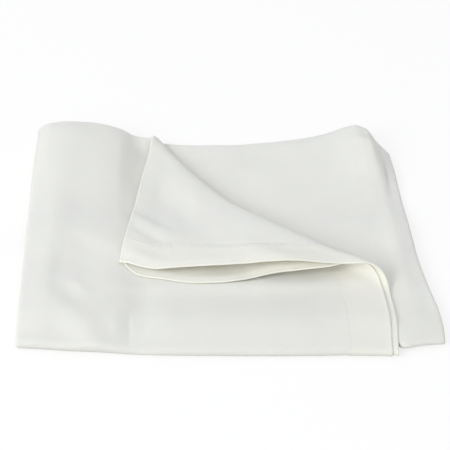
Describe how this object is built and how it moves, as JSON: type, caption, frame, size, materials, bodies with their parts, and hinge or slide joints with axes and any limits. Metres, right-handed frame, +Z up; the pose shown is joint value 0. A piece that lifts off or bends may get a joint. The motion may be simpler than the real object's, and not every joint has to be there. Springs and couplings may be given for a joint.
{
  "type": "pillowcase",
  "caption": "Plain cotton pillowcase, folded in half with its front edge tucked under and the corner of its open end turned back over a soft roll, so that its mouth stands open.",
  "frame": {"origin": "middle of the folded case's footprint, on the surface that it lies on", "axes": "+Z up, +X along the case from its fold towards its open end, +Y to the back, away from the edge with the tucked strip"},
  "size_m": [0.4187, 0.3579, 0.0441],
  "materials": {
    "cotton": "matte, plain woven, white"
  },
  "bodies": {
    "root": {"pillowcase": "cotton"}
  },
  "joints": []
}
